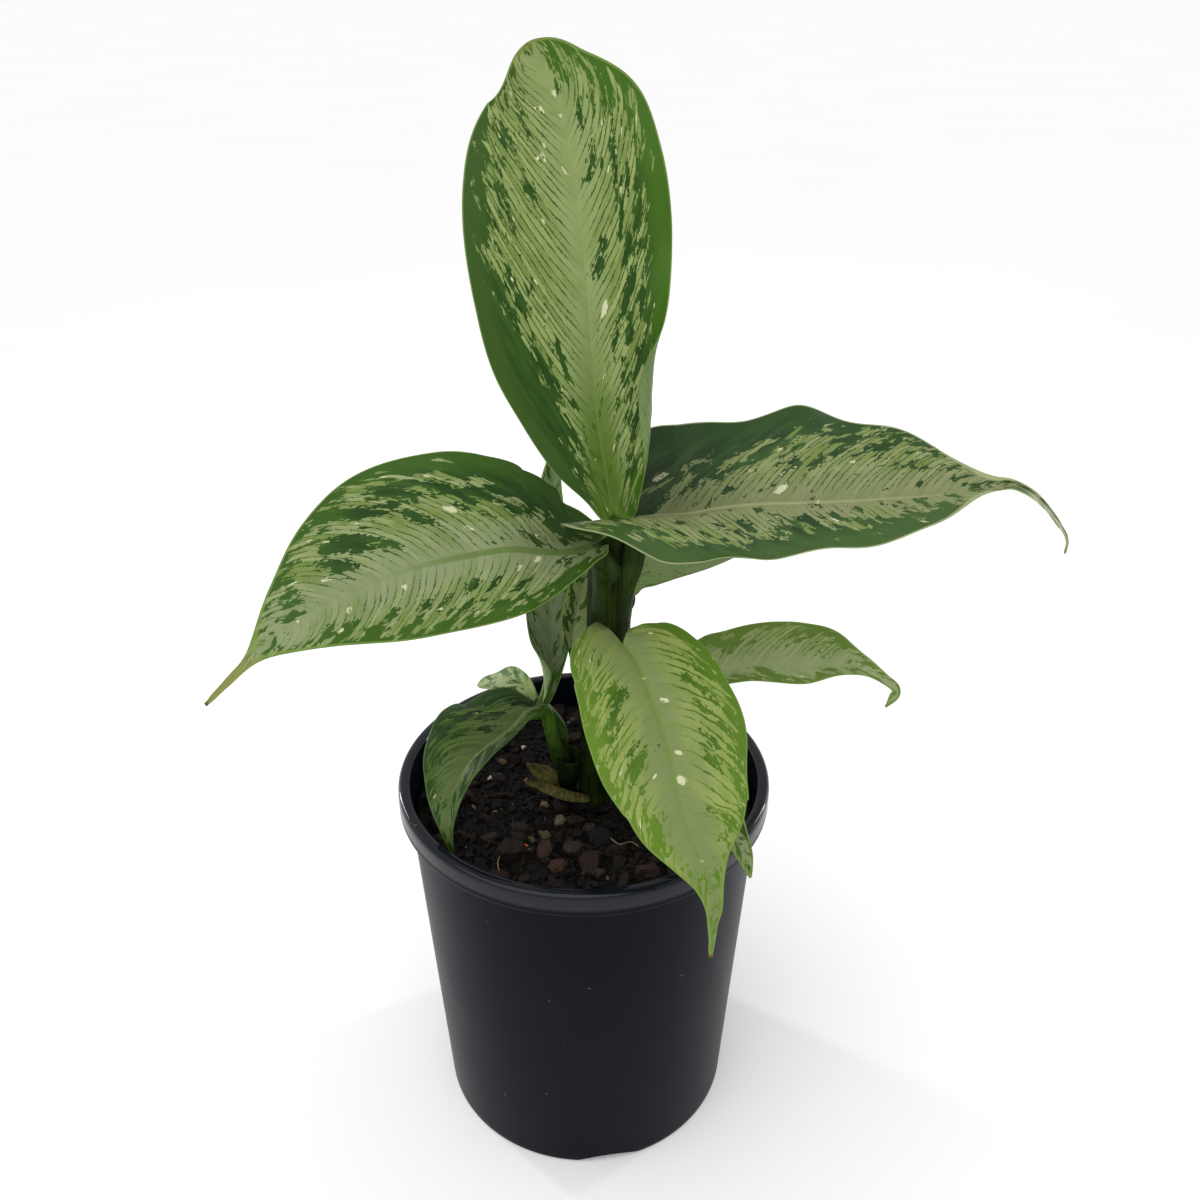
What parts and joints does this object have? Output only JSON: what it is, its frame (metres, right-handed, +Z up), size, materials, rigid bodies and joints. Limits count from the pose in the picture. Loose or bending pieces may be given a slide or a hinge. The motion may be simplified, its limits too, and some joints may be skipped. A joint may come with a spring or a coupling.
{
  "type": "potted dieffenbachia",
  "caption": "Young house plant with large variegated pointed leaves on a short main stem and a side shoot, growing in a tapered plastic nursery pot filled with bark potting mix.",
  "frame": {"origin": "middle of the flat underside of the pot", "axes": "+Z up out of the pot, -Y to the front that the leaves face, +X to the right of a person in front of it"},
  "size_m": [0.287, 0.1591, 0.4013],
  "materials": {
    "pot": "satin",
    "soil": "matte",
    "stem": "satin",
    "leaf": "satin",
    "bract": "matte"
  },
  "bodies": {
    "root": {"pot": "pot", "soil": "soil", "main_stem": "stem", "side_shoot": "stem", "leaf_top": "leaf", "leaf_left": "leaf", "leaf_right": "leaf", "leaf_front": "leaf", "leaf_right_low": "leaf", "leaf_in_pot": "leaf", "leaf_back_left": "leaf", "leaf_twisted": "leaf", "leaf_behind_stem": "leaf", "leaf_over_rim": "leaf", "bract_upper": "bract", "bract_lower": "bract"}
  },
  "joints": []
}
